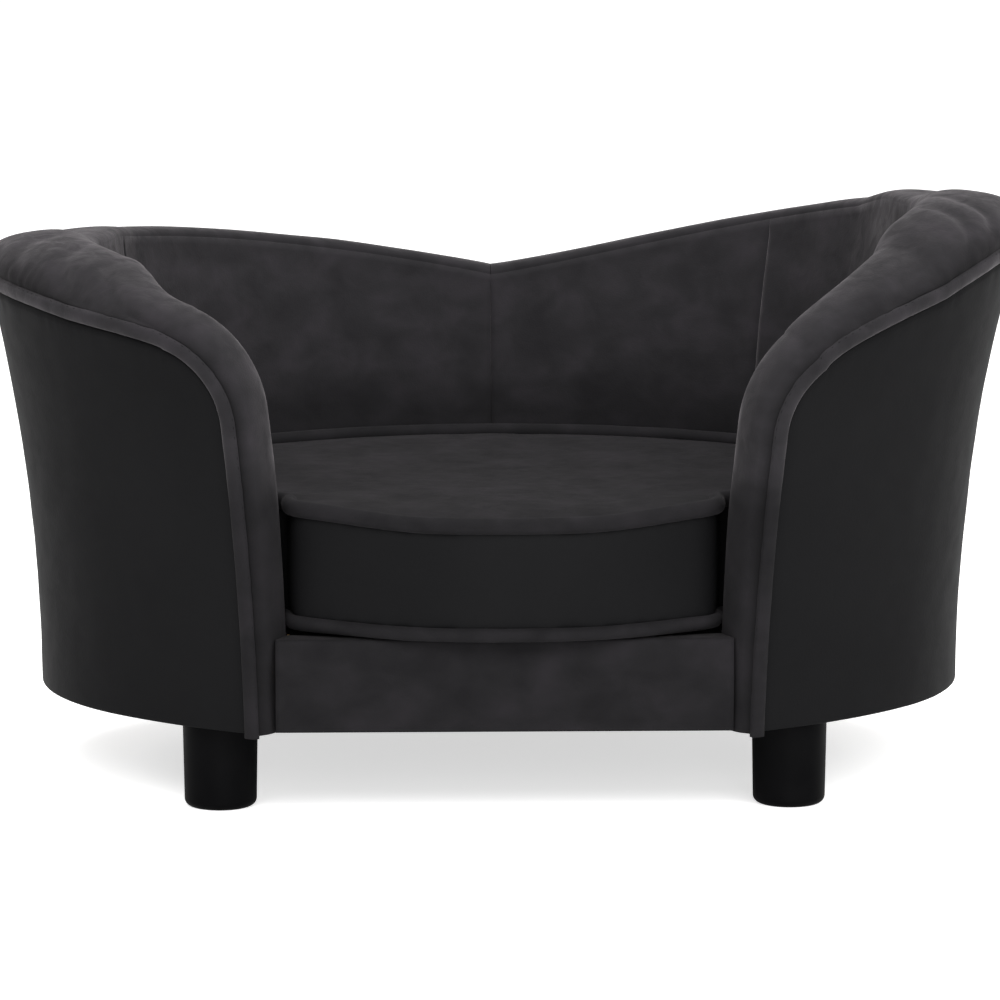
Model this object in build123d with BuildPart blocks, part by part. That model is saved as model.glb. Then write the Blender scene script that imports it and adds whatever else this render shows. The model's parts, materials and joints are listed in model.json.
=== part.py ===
"""Small tub-shaped pet sofa: a padded C-shaped wall on four feet, with a lift-out seat cushion.

Millimetres, +Z up, the open front towards -Y, origin on the floor under the middle of the sofa.
Places round the wall are given as a bearing in degrees: 0 is the front, 90 the side, 180 the back.
"""

import os
from math import asin, cos, degrees, radians, sin, sqrt, tan

from build123d import *

os.makedirs("parts", exist_ok=True)

# Plan of the tub at its foot: a four-centred oval on the outside of the leather
half_width = 308.0
half_depth = 242.0
side_radius = 190.0
plan_centre_y = -27.0
opening_half_width = {"left": 160.5, "right": 157.0}

# Heights of the wall's outer edge, just below the padded roll; the right wing stands higher
base_height = 58.5
wing_height = {"left": 338.0, "right": 362.5}
arm_height = {"left": 316.0, "right": 301.0}
back_height = 293.0
wing_front_bearing = 85.0
wing_back_bearing = 110.0
rise_shape = 0.68
fall_shape = {"left": 0.95, "right": 1.18}
flare_radius = 1150.0

# Front edge of each arm
arm_lean = 1.0
arm_corner_radius = 60.0
arm_corner_slope = {"left": 18.0, "right": 34.0}
corner_settle = 20.0
front_steps = 4
corner_steps = 7
rim_steps = 22
rim_crowding = 1.3
front_margin = 2.0
trim_reach = 130.0
trim_side = 15.0

# Layers of the wall, from the outside in
leather_thickness = 1.5
board_thickness = 3.0
rib_depth = 14.0
foam_thickness = 13.0
plush_thickness = 2.0
layer_gap = 0.3
roll_height = 8.0
roll_foot_height = 4.0
roll_full_from = 200.0
welt_width = 9.0
welt_bulge = 2.5
welt_seat = 0.4
seam_bearing = {"left": 125.0, "right": 146.0}

# Timber frame
base_thickness = 12.0
rib_width = 18.0
rib_bearings = {"front_post": 33.0, "side_rib": 62.0, "wing_rib": 100.0, "back_rib": 140.0}
rail_half_length = 140.0
rail_thickness = 18.0
rail_face_y = -223.0
deck_thickness = 6.0
deck_height = 115.0
deck_rail_spacing = 220.0
deck_rail_width = 18.0
deck_rail_back = 126.0
deck_cloth_thickness = 0.8
dust_cover_thickness = 0.6
dust_cover_inset = 14.0

# Screws that hold the timber together
screw_radius = 2.0
screw_head_radius = 4.0
screw_head_height = 3.0
frame_screw_length = 40.0
deck_screw_length = 28.0
screw_clearance = 0.1
rail_screw_spacing = 110.0
deck_screw_rows = 3
deck_screw_pitch = 110.0

# Feet with their hanger bolts and tee nuts
foot_radius = 24.5
foot_tip_radius = 23.5
foot_edge_radius = 5.0
front_foot_bearing = 36.0
rear_foot_bearing = 145.0
foot_inset = 34.0
bolt_radius = 4.0
bolt_length = 44.0
bolt_in_foot = 28.0
bolt_clearance = 0.15
tee_barrel_radius = 5.2
tee_flange_radius = 10.0
tee_flange_thickness = 1.2
foot_gap = 0.2

# Seat cushion
cushion_thickness = 80.0
cushion_wall_gap = 4.0
cushion_shoulder_y = -172.0
lobe_half_width = 137.0
lobe_front_y = -239.0
lobe_bow_radius = 300.0
lobe_corner_radius = 20.0
lobe_inner_radius = 9.0
cover_thickness = 2.0
seat_welt_radius = 4.5
seat_welt_proud = 2.0
cushion_rest_gap = 0.3

# Zip along the back of the cushion's boxing
zip_half_angle = 20.0
zip_pocket_margin = 2.0
zip_pocket_height = 18.0
zip_tape_height = 15.0
zip_tape_thickness = 1.0
zip_tape_recess = 2.2
zip_coil_height = 4.6
zip_coil_thickness = 2.0
slider_length = 14.0
slider_height = 9.0
slider_plate = 1.4
slider_gap = 0.35
stop_length = 3.0

# Values worked out from those above
SIDES = {"left": -1.0, "right": 1.0}
end_radius = (half_width**2 + half_depth**2 - 2 * half_width * side_radius) / (2 * (half_depth - side_radius))
end_offset = end_radius - half_depth
side_offset = half_width - side_radius
side_start = degrees(asin(side_offset / (end_radius - side_radius)))
arm_bearing = {side: degrees(asin(half / end_radius)) for side, half in opening_half_width.items()}
back_gap_bearing = degrees(layer_gap / 2 / end_radius)
edge_gap_bearing = degrees(layer_gap / end_radius)

outer_board_out = leather_thickness + layer_gap
outer_board_in = outer_board_out + board_thickness
rib_out = outer_board_in + layer_gap
rib_in = rib_out + rib_depth
inner_board_out = rib_in + layer_gap
inner_board_in = inner_board_out + board_thickness
foam_out = inner_board_in + layer_gap
foam_in = foam_out + foam_thickness
plush_out = foam_in + layer_gap
wall_thickness = plush_out + plush_thickness

base_top = base_height + base_thickness
deck_bottom = deck_height - deck_thickness
cloth_top = deck_height + deck_cloth_thickness
lining_bottom = cloth_top + layer_gap
wall_top = max(wing_height.values()) + roll_height
foot_height = base_height - dust_cover_thickness - 2 * foot_gap


def flare(height):
    """How far the wall leans out at this height."""
    return flare_radius - sqrt(flare_radius**2 - (height - base_height) ** 2)


def oval_arcs():
    """The right half of the oval as (centre x, centre y, radius, first bearing, last bearing)."""
    return [
        (0.0, plan_centre_y + end_offset, end_radius, 0.0, side_start),
        (side_offset, plan_centre_y, side_radius, side_start, 180.0 - side_start),
        (0.0, plan_centre_y - end_offset, end_radius, 180.0 - side_start, 180.0),
    ]


def plan_point(side, bearing, inset, height=base_height):
    """A point of the wall in plan, this far inside its outer face."""
    for centre_x, centre_y, radius, _, last in oval_arcs():
        if bearing <= last:
            break
    reach = radius + flare(height) - inset
    turn = radians(bearing)
    return (SIDES[side] * (centre_x + reach * sin(turn)), centre_y - reach * cos(turn))


def rim_height(side, bearing):
    """Height of the wall's outer edge at a bearing behind the arm's corner."""
    top = wing_height[side]
    start = corner_bearing(side)
    if bearing < wing_front_bearing:
        share = (bearing - start) / (wing_front_bearing - start)
        return arm_height[side] + (top - arm_height[side]) * sin(radians(90.0 * share**rise_shape))
    if bearing < wing_back_bearing:
        return top
    share = (180.0 - bearing) / (180.0 - wing_back_bearing)
    return back_height + (top - back_height) * sin(radians(90.0 * share ** fall_shape[side]))


def corner_bearing(side):
    """Bearing at which the arm's rounded corner runs into the rim."""
    run = arm_corner_radius * (1.0 - sin(radians(arm_corner_slope[side])))
    return arm_bearing[side] + arm_lean + degrees(run / end_radius)


def front_edge_bearing(side, height):
    """Bearing of the arm's front edge, which leans back a little as it rises."""
    return arm_bearing[side] + arm_lean * (height - base_height) / (corner_centre_height(side) - base_height)


def corner_centre_height(side):
    """Height at which the arm's front edge starts to turn into its rounded corner."""
    return arm_height[side] - arm_corner_radius * cos(radians(arm_corner_slope[side]))


def edge_stations(side):
    """Places along the wall's edge, from the arm's foot up, round its corner and along the rim.

    Each is a bearing, a height and a turn: 90 where the edge faces forwards, 0 where it faces up.
    """
    slope = arm_corner_slope[side]
    centre_height = corner_centre_height(side)
    centre_bearing = arm_bearing[side] + arm_lean + degrees(arm_corner_radius / end_radius)
    places = []
    for step in range(front_steps):
        height = base_height + (centre_height - base_height) * step / front_steps
        places.append((front_edge_bearing(side, height), height, 90.0))
    for step in range(corner_steps):
        turn = 90.0 - (90.0 - slope) * step / corner_steps
        run = arm_corner_radius * sin(radians(turn))
        height = centre_height + arm_corner_radius * cos(radians(turn))
        places.append((centre_bearing - degrees(run / end_radius), height, turn))
    start = corner_bearing(side)
    finish = 180.0 - back_gap_bearing
    for step in range(rim_steps + 1):
        bearing = start + (finish - start) * (step / rim_steps) ** rim_crowding
        turn = slope * max(0.0, 1.0 - (bearing - start) / corner_settle)
        places.append((bearing, rim_height(side, bearing), turn))
    return places


def edge_plane(side, bearing, height, turn):
    """Plane across the wall's edge: x runs in through the wall, y runs out past the edge."""
    hand = SIDES[side]
    lean = asin((height - base_height) / flare_radius)
    way, out = radians(bearing), radians(turn)
    level = Vector(hand * sin(way), -cos(way), 0)
    forward = Vector(-hand * cos(way), -sin(way), 0)
    inward = Vector(0, 0, 1) * sin(lean) - level * cos(lean)
    upward = level * sin(lean) + Vector(0, 0, 1) * cos(lean)
    along = upward * cos(out) + forward * sin(out)
    x, y = plan_point(side, bearing, 0.0, height)
    return Plane(origin=(x, y, height), x_dir=inward, z_dir=inward.cross(along))


def edge_width(height):
    """Thickness of the wall square to its lean at this height."""
    return wall_thickness * sqrt(1.0 - ((height - base_height) / flare_radius) ** 2)


def edge_roll(height):
    """Rise of the padded roll at this height; it flattens towards the foot of the arm."""
    share = min(1.0, (height - base_height) / (roll_full_from - base_height))
    return roll_foot_height + (roll_height - roll_foot_height) * share


def edge_sections(side, draw):
    """Sections drawn by draw(width, roll), one at each place along the edge of one half of the wall."""
    sections = []
    for bearing, height, turn in edge_stations(side):
        with BuildSketch(edge_plane(side, bearing, height, turn)) as section:
            add(draw(edge_width(height), edge_roll(height)))
        sections.append(section.sketch)
    return sections


def wall_layer(side, inset_out, inset_in, low, first, last):
    """A wall layer's upright section turned round each arc of the oval between two bearings."""
    with BuildPart() as layer:
        for centre_x, centre_y, radius, arc_first, arc_last in oval_arcs():
            start, finish = max(first, arc_first), min(last, arc_last)
            if finish <= start:
                continue
            begin = radians(start if SIDES[side] > 0 else -finish)
            centre = (SIDES[side] * centre_x, centre_y, 0)
            outward, across = (sin(begin), -cos(begin), 0), (-cos(begin), -sin(begin), 0)
            heights = (low, (low + wall_top) / 2, wall_top)
            with BuildSketch(Plane(origin=centre, x_dir=outward, z_dir=across)):
                with BuildLine():
                    outer = ThreePointArc(*[(radius + flare(h) - inset_out, h) for h in heights])
                    inner = ThreePointArc(*[(radius + flare(h) - inset_in, h) for h in heights])
                    Line(outer @ 0, inner @ 0)
                    Line(outer @ 1, inner @ 1)
                make_face()
            revolve(axis=Axis(centre, (0, 0, 1)), revolution_arc=finish - start)
    return layer.part


def tub_outline(inset, front_y, half_front, height):
    """Face of the oval inside the wall up to this height, with a straight front between the arms."""
    with BuildSketch() as outline:
        with BuildLine():
            for side, hand in SIDES.items():
                first = front_edge_bearing(side, height) + edge_gap_bearing
                neck_y = plan_centre_y + end_offset - half_front / tan(radians(first))
                for _, _, _, arc_first, arc_last in oval_arcs():
                    start = max(first, arc_first)
                    places = (start, (start + arc_last) / 2, arc_last)
                    ThreePointArc(*[plan_point(side, bearing, inset) for bearing in places])
                neck, end = (hand * half_front, neck_y), (hand * half_front, front_y)
                Polyline(plan_point(side, first, inset), neck, end)
            Line((-half_front, front_y), (half_front, front_y))
        make_face()
    return outline.sketch


def upright_screws(points, head_z, length, grow, mode):
    """Countersunk screws driven upwards, with their heads level with head_z."""
    with Locations(*[(x, y, head_z) for x, y in points]):
        up = (Align.CENTER, Align.CENTER, Align.MIN)
        Cylinder(screw_radius + grow, length + grow, align=up, mode=mode)
        Cone(screw_head_radius + grow, screw_radius + grow, screw_head_height, align=up, mode=mode)


def down_screws(points, head_z, length, grow, mode):
    """Countersunk screws driven downwards, with their heads level with head_z."""
    with Locations(*[(x, y, head_z) for x, y in points]):
        down = (Align.CENTER, Align.CENTER, Align.MAX)
        Cylinder(screw_radius + grow, length + grow, align=down, mode=mode)
        Cone(screw_radius + grow, screw_head_radius + grow, screw_head_height, align=down, mode=mode)


def save(builder, name):
    """Label a finished piece and write it to its own file."""
    builder.part.label = name
    export_step(builder.part, f"parts/{name}.step")


# Places of the fasteners
rib_middle = (rib_out + rib_in) / 2
rib_points = [plan_point(side, bearing, rib_middle) for side in SIDES for bearing in rib_bearings.values()]
rib_points.append(plan_point("right", 180.0, rib_middle))
rail_middle_y = rail_face_y + rail_thickness / 2
rail_points = [(x, rail_middle_y) for x in (-rail_screw_spacing, 0.0, rail_screw_spacing)]
deck_rail_x = deck_rail_spacing / 2
deck_rail_front = rail_face_y + rail_thickness + layer_gap
deck_rail_middle = (deck_rail_front + deck_rail_back) / 2
deck_points = [
    (hand * deck_rail_x, deck_rail_middle + (row - (deck_screw_rows - 1) / 2) * deck_screw_pitch)
    for hand in SIDES.values()
    for row in range(deck_screw_rows)
]
rail_top_points = [(x, rail_middle_y) for x in (-rail_screw_spacing / 2, rail_screw_spacing / 2)]
foot_points = {
    f"{end}_{side}": plan_point(side, bearing, foot_inset)
    for end, bearing in (("front", front_foot_bearing), ("rear", rear_foot_bearing))
    for side in SIDES
}


def edge_trim(side, set_back):
    """Solid that covers all that lies past the wall's edge, from set_back short of it."""

    def block(width, roll):
        with BuildSketch() as section:
            with Locations((width / 2, (trim_reach - set_back) / 2)):
                Rectangle(width + 2 * trim_side, trim_reach + set_back)
        return section.sketch

    with BuildPart() as trim:
        loft(edge_sections(side, block), ruled=True)
    return trim.part


wall_trim = {side: edge_trim(side, layer_gap) for side in SIDES}
leather_trim = {side: edge_trim(side, welt_width + layer_gap) for side in SIDES}

# Base board: the floor of the tub, drilled for screws and tee nuts
with BuildPart() as base_board:
    with BuildSketch(Plane.XY.offset(base_height)):
        add(tub_outline(outer_board_in + layer_gap, rail_face_y, rail_half_length, base_top))
    extrude(amount=base_thickness)
    upright_screws(rib_points + rail_points, base_height, frame_screw_length, screw_clearance, Mode.SUBTRACT)
    with Locations(*[(x, y, base_height) for x, y in foot_points.values()]):
        Cylinder(
            tee_barrel_radius + bolt_clearance,
            base_thickness,
            align=(Align.CENTER, Align.CENTER, Align.MIN),
            mode=Mode.SUBTRACT,
        )
save(base_board, "base_board")

# Front rail across the opening, standing on the base board
with BuildPart() as front_rail:
    with BuildSketch(Plane.XY.offset(base_top)):
        with Locations((0, rail_middle_y)):
            Rectangle(2 * rail_half_length, rail_thickness)
    extrude(amount=deck_bottom - base_top)
    upright_screws(rail_points, base_height, frame_screw_length, screw_clearance, Mode.SUBTRACT)
    down_screws(rail_top_points, deck_height, deck_screw_length, screw_clearance, Mode.SUBTRACT)
save(front_rail, "front_rail")

# Two rails on edge that carry the seat deck
for side, hand in SIDES.items():
    side_points = [point for point in deck_points if point[0] * hand > 0]
    with BuildPart() as deck_rail:
        with BuildSketch(Plane.XY.offset(base_top)):
            with Locations((hand * deck_rail_x, deck_rail_middle)):
                Rectangle(deck_rail_width, deck_rail_back - deck_rail_front)
        extrude(amount=deck_bottom - base_top)
        down_screws(side_points, deck_height, deck_screw_length, screw_clearance, Mode.SUBTRACT)
    save(deck_rail, f"{side}_deck_rail")

# Seat deck: the plywood floor under the cushion
with BuildPart() as seat_deck:
    with BuildSketch(Plane.XY.offset(deck_bottom)):
        add(tub_outline(inner_board_in + layer_gap, rail_face_y, rail_half_length, deck_height))
    extrude(amount=deck_thickness)
    down_screws(deck_points + rail_top_points, deck_height, deck_screw_length, screw_clearance, Mode.SUBTRACT)
save(seat_deck, "seat_deck")

# Upright ribs that hold the wall's two boards apart
for side in SIDES:
    for name, bearing in rib_bearings.items():
        spread = degrees(rib_width / 2 / end_radius)
        with BuildPart() as rib:
            add(wall_layer(side, rib_out, rib_in, base_top, bearing - spread, bearing + spread))
            add(wall_trim[side], mode=Mode.SUBTRACT)
            rib_point = [plan_point(side, bearing, rib_middle)]
            upright_screws(rib_point, base_height, frame_screw_length, screw_clearance, Mode.SUBTRACT)
        save(rib, f"{side}_{name}")

with BuildPart() as centre_rib:
    for side in SIDES:
        add(wall_layer(side, rib_out, rib_in, base_top, 180.0 - degrees(rib_width / 2 / end_radius), 180.0))
    for side in SIDES:
        add(wall_trim[side], mode=Mode.SUBTRACT)
    with Locations((0, plan_centre_y + half_depth, back_height - layer_gap)):
        Box(4 * layer_gap, half_depth, wall_top, align=(Align.CENTER, Align.CENTER, Align.MIN), mode=Mode.SUBTRACT)
    upright_screws(rib_points[-1:], base_height, frame_screw_length, screw_clearance, Mode.SUBTRACT)
save(centre_rib, "centre_back_rib")

# Wall layers: bent boards, foam, plush lining and leather, each in halves or panels
last_bearing = 180.0 - back_gap_bearing
for side in SIDES:
    first_bearing = arm_bearing[side] - front_margin
    with BuildPart() as outer_board:
        add(wall_layer(side, outer_board_out, outer_board_in, base_height, first_bearing, last_bearing))
        add(wall_trim[side], mode=Mode.SUBTRACT)
    save(outer_board, f"{side}_outer_board")

    with BuildPart() as inner_board:
        add(wall_layer(side, inner_board_out, inner_board_in, base_top, first_bearing, last_bearing))
        add(wall_trim[side], mode=Mode.SUBTRACT)
    save(inner_board, f"{side}_inner_board")

    with BuildPart() as wall_foam:
        add(wall_layer(side, foam_out, foam_in, lining_bottom, first_bearing, last_bearing))
        add(wall_trim[side], mode=Mode.SUBTRACT)
    save(wall_foam, f"{side}_wall_foam")

    seam = seam_bearing[side]
    with BuildPart() as arm_lining:
        add(wall_layer(side, plush_out, wall_thickness, lining_bottom, first_bearing, seam - edge_gap_bearing))
        add(wall_trim[side], mode=Mode.SUBTRACT)
    save(arm_lining, f"{side}_arm_lining")

    with BuildPart() as back_lining:
        add(wall_layer(side, plush_out, wall_thickness, lining_bottom, seam, last_bearing))
        add(wall_trim[side], mode=Mode.SUBTRACT)
    save(back_lining, f"{side}_back_lining")

    with BuildPart() as outer_leather:
        add(wall_layer(side, 0.0, leather_thickness, base_height, first_bearing, last_bearing))
        add(leather_trim[side], mode=Mode.SUBTRACT)
    save(outer_leather, f"{side}_outer_leather")

# Roll along the edge: padding, the plush band over it and the welt where it meets the leather
band_room = plush_thickness + layer_gap


def padding_section(width, roll):
    """Half-round padding on the edge of the wall."""
    with BuildSketch() as section:
        with BuildLine():
            ends = ((band_room, 0), (width - band_room, 0))
            ThreePointArc(ends[0], (width / 2, roll - band_room), ends[1])
            Line(*ends)
        make_face()
    return section.sketch


def band_section(width, roll):
    """Plush band arched over the padding."""
    with BuildSketch() as section:
        with BuildLine():
            outer = ThreePointArc((0, 0), (width / 2, roll), (width, 0))
            inner = ThreePointArc(
                (plush_thickness, 0), (width / 2, roll - plush_thickness), (width - plush_thickness, 0)
            )
            Line(outer @ 0, inner @ 0)
            Line(outer @ 1, inner @ 1)
        make_face()
    return section.sketch


def welt_section(width, roll):
    """Half-round welt against the outer board, between the leather and the band."""
    with BuildSketch() as section:
        with BuildLine():
            ends = ((welt_seat, -layer_gap), (welt_seat, -welt_width))
            ThreePointArc(ends[0], (-welt_bulge, -welt_width / 2), ends[1])
            Line(*ends)
        make_face()
    return section.sketch


for side in SIDES:
    with BuildPart() as rim_padding:
        loft(edge_sections(side, padding_section), ruled=True)
    save(rim_padding, f"{side}_rim_padding")

    with BuildPart() as rim_band:
        loft(edge_sections(side, band_section), ruled=True)
    save(rim_band, f"{side}_rim_band")

    with BuildPart() as edge_welt:
        loft(edge_sections(side, welt_section), ruled=True)
    save(edge_welt, f"{side}_edge_welt")

# Plush over the front rail, turned in over the deck's front edge
with BuildPart() as rail_cover:
    with BuildSketch(Plane.XY.offset(base_height)):
        with Locations((0, rail_face_y - layer_gap - plush_thickness / 2)):
            Rectangle(2 * rail_half_length, plush_thickness)
    extrude(amount=cloth_top + plush_thickness - base_height)
    with BuildSketch(Plane.XY.offset(deck_height + layer_gap)):
        with Locations((0, rail_middle_y - layer_gap / 2)):
            Rectangle(2 * rail_half_length, rail_thickness + layer_gap)
    extrude(amount=cloth_top + plush_thickness - deck_height - layer_gap)
save(rail_cover, "front_rail_cover")

# Cloth on the deck behind the turned-in plush, and the dust cover under the base
with BuildPart() as deck_cloth:
    with BuildSketch(Plane.XY.offset(deck_height)):
        add(tub_outline(wall_thickness + layer_gap, deck_rail_front, rail_half_length, cloth_top))
    extrude(amount=deck_cloth_thickness)
save(deck_cloth, "deck_cloth")

with BuildPart() as dust_cover:
    with BuildSketch(Plane.XY.offset(base_height - foot_gap - dust_cover_thickness)):
        add(tub_outline(dust_cover_inset, rail_middle_y, rail_half_length, base_height))
        with Locations(*foot_points.values()):
            Circle(tee_barrel_radius, mode=Mode.SUBTRACT)
    extrude(amount=dust_cover_thickness)
save(dust_cover, "dust_cover")

# Feet: moulded, slightly tapered, with a rounded lower edge and a bore for the bolt
for name, (x, y) in foot_points.items():
    with BuildPart() as foot:
        with BuildSketch(Plane(origin=(x, y, 0), x_dir=(1, 0, 0), z_dir=(0, -1, 0))):
            with BuildLine():
                Polyline(
                    (0, 0), (foot_tip_radius, 0), (foot_radius, foot_height), (0, foot_height), (0, 0)
                )
            make_face()
        revolve(axis=Axis((x, y, 0), (0, 0, 1)))
        fillet(foot.edges().group_by(Axis.Z)[0], foot_edge_radius)
        with Locations((x, y, foot_height)):
            Cylinder(
                bolt_radius + bolt_clearance,
                bolt_in_foot + bolt_clearance,
                align=(Align.CENTER, Align.CENTER, Align.MAX),
                mode=Mode.SUBTRACT,
            )
    save(foot, f"{name}_foot")

with BuildPart() as hanger_bolts:
    with Locations(*[(x, y, foot_height - bolt_in_foot) for x, y in foot_points.values()]):
        Cylinder(bolt_radius, bolt_length, align=(Align.CENTER, Align.CENTER, Align.MIN))
save(hanger_bolts, "hanger_bolts")

with BuildPart() as tee_nuts:
    with Locations(*[(x, y, base_top) for x, y in foot_points.values()]):
        Cylinder(tee_flange_radius, tee_flange_thickness, align=(Align.CENTER, Align.CENTER, Align.MIN))
        Cylinder(tee_barrel_radius, base_thickness, align=(Align.CENTER, Align.CENTER, Align.MAX))
        Cylinder(bolt_radius + bolt_clearance, 4 * base_thickness, mode=Mode.SUBTRACT)
save(tee_nuts, "tee_nuts")

with BuildPart() as frame_screws:
    upright_screws(rib_points + rail_points, base_height, frame_screw_length, 0.0, Mode.ADD)
save(frame_screws, "frame_screws")

with BuildPart() as deck_screws:
    down_screws(deck_points + rail_top_points, deck_height, deck_screw_length, 0.0, Mode.ADD)
save(deck_screws, "deck_screws")

# Seat cushion: fills the tub behind the arms, with a bowed front between them
cushion_bottom = cloth_top + plush_thickness + cushion_rest_gap
cushion_top = cushion_bottom + cushion_thickness
cushion_inset = wall_thickness + cushion_wall_gap
lobe_side_y = lobe_front_y + lobe_bow_radius - sqrt(lobe_bow_radius**2 - lobe_half_width**2)


def cushion_outline(inset):
    """Plan of the cushion, drawn in by inset all round."""
    with BuildSketch() as outline:
        with BuildLine():
            for side, hand in SIDES.items():
                for _, _, _, arc_first, arc_last in oval_arcs():
                    places = (arc_first, (arc_first + arc_last) / 2, arc_last)
                    ThreePointArc(*[plan_point(side, bearing, cushion_inset) for bearing in places])
        make_face()
        with Locations((0, cushion_shoulder_y)):
            Rectangle(4 * half_width, half_depth, align=(Align.CENTER, Align.MAX), mode=Mode.SUBTRACT)
        with BuildLine():
            corners = [(hand * lobe_half_width, lobe_side_y) for hand in SIDES.values()]
            roots = [(hand * lobe_half_width, cushion_shoulder_y + lobe_inner_radius) for hand in SIDES.values()]
            ThreePointArc(corners[0], (0, lobe_front_y), corners[1])
            Polyline(corners[0], roots[0], roots[1], corners[1])
        make_face()
        fronts = [v for v in outline.vertices() if abs(v.Y - lobe_side_y) < layer_gap]
        fillet(fronts, lobe_corner_radius)
        necks = outline.vertices().filter_by(
            lambda v: abs(v.Y - cushion_shoulder_y) < layer_gap and abs(abs(v.X) - lobe_half_width) < layer_gap
        )
        fillet(necks, lobe_inner_radius)
        if inset:
            offset(amount=-inset, mode=Mode.REPLACE)
    return outline.sketch


welt_depth = 2 * seat_welt_radius
panel_room = welt_depth - seat_welt_proud + layer_gap
foam_room = cover_thickness + layer_gap
zip_height = (cushion_bottom + cushion_top) / 2
zip_centre = (0, plan_centre_y - end_offset, zip_height)
zip_face = end_radius - cushion_inset
zip_axis = Axis(zip_centre, (0, 0, 1))
pocket_half_angle = zip_half_angle + zip_pocket_margin


def zip_strip(near, far, height, first, last):
    """A strip along the back of the cushion, between two radii and two angles from the middle."""
    begin = radians(first + 90.0)
    with BuildPart() as strip:
        plane = Plane(
            origin=zip_centre, x_dir=(cos(begin), sin(begin), 0), z_dir=(sin(begin), -cos(begin), 0)
        )
        with BuildSketch(plane):
            with Locations(((near + far) / 2, 0)):
                Rectangle(far - near, height)
        revolve(axis=zip_axis, revolution_arc=last - first)
    return strip.part


tape_far = zip_face - zip_tape_recess
tape_near = tape_far - zip_tape_thickness
coil_near = tape_far + layer_gap
coil_far = coil_near + zip_coil_thickness
pocket_near = tape_near - layer_gap

with BuildPart() as cushion_foam:
    with BuildSketch(Plane.XY.offset(cushion_bottom + foam_room)):
        add(cushion_outline(foam_room))
    extrude(amount=cushion_thickness - 2 * foam_room)
    for level in (cushion_bottom, cushion_top - welt_depth - layer_gap):
        with BuildSketch(Plane.XY.offset(level)):
            add(cushion_outline(0.0))
            add(cushion_outline(panel_room), mode=Mode.SUBTRACT)
        extrude(amount=welt_depth + layer_gap, mode=Mode.SUBTRACT)
    pocket = zip_strip(pocket_near, zip_face, zip_pocket_height, -pocket_half_angle, pocket_half_angle)
    add(pocket, mode=Mode.SUBTRACT)
save(cushion_foam, "cushion_foam")

for name, level in (("top", cushion_top - cover_thickness), ("bottom", cushion_bottom)):
    with BuildPart() as panel:
        with BuildSketch(Plane.XY.offset(level)):
            add(cushion_outline(panel_room))
        extrude(amount=cover_thickness)
    save(panel, f"cushion_{name}_panel")

for name, level in (("top", cushion_top - welt_depth), ("bottom", cushion_bottom)):
    with BuildPart() as seat_welt:
        with BuildSketch(Plane.XY.offset(level)):
            add(cushion_outline(-seat_welt_proud))
            add(cushion_outline(panel_room - layer_gap), mode=Mode.SUBTRACT)
        extrude(amount=welt_depth)
        fillet(seat_welt.edges().filter_by(GeomType.LINE, reverse=True), seat_welt_radius - layer_gap)
    save(seat_welt, f"cushion_{name}_welt")

with BuildPart() as boxing:
    with BuildSketch(Plane.XY.offset(cushion_bottom + welt_depth + layer_gap)):
        add(cushion_outline(0.0))
        add(cushion_outline(cover_thickness), mode=Mode.SUBTRACT)
    extrude(amount=cushion_thickness - 2 * (welt_depth + layer_gap))
    slot = zip_strip(
        pocket_near, zip_face + seat_welt_proud, zip_pocket_height, -pocket_half_angle, pocket_half_angle
    )
    add(slot, mode=Mode.SUBTRACT)
save(boxing, "cushion_boxing")

# Zip: tape, coil with a stop at each end, and the slider that runs along the coil
with BuildPart() as zip_tape:
    add(zip_strip(tape_near, tape_far, zip_tape_height, -pocket_half_angle, pocket_half_angle))
save(zip_tape, "zip_tape")

stop_angle = degrees(stop_length / zip_face)
coil_half_angle = zip_half_angle - stop_angle
with BuildPart() as zip_coil:
    add(zip_strip(coil_near, coil_far, zip_coil_height, -coil_half_angle, coil_half_angle))
save(zip_coil, "zip_coil")

with BuildPart() as zip_stops:
    for first, last in ((-zip_half_angle, -coil_half_angle), (coil_half_angle, zip_half_angle)):
        add(zip_strip(coil_near, coil_far + slider_plate, slider_height, first, last))
save(zip_stops, "zip_stops")

slider_angle = degrees(slider_length / zip_face)
slider_start = -coil_half_angle + degrees(slider_gap / zip_face)
slider_near = coil_near + slider_gap
slider_far = coil_far + slider_gap + slider_plate
with BuildPart() as zip_slider:
    add(zip_strip(slider_near, slider_far, slider_height, slider_start, slider_start + slider_angle))
    channel = zip_strip(
        coil_near,
        coil_far + slider_gap,
        zip_coil_height + 2 * slider_gap,
        slider_start - slider_angle,
        slider_start + 2 * slider_angle,
    )
    add(channel, mode=Mode.SUBTRACT)
save(zip_slider, "zip_slider")
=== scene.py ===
"""Looks of a small tub-shaped pet sofa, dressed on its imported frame.

Metres, +Z up, the open front towards -Y. Places round the wall are bearings: 0 front, 90 side, 180 back.
"""

import json
import logging
import math
from dataclasses import dataclass, field
from enum import Enum
from typing import Callable

import bmesh
import bpy
from mathutils import Matrix, Vector, noise


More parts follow.
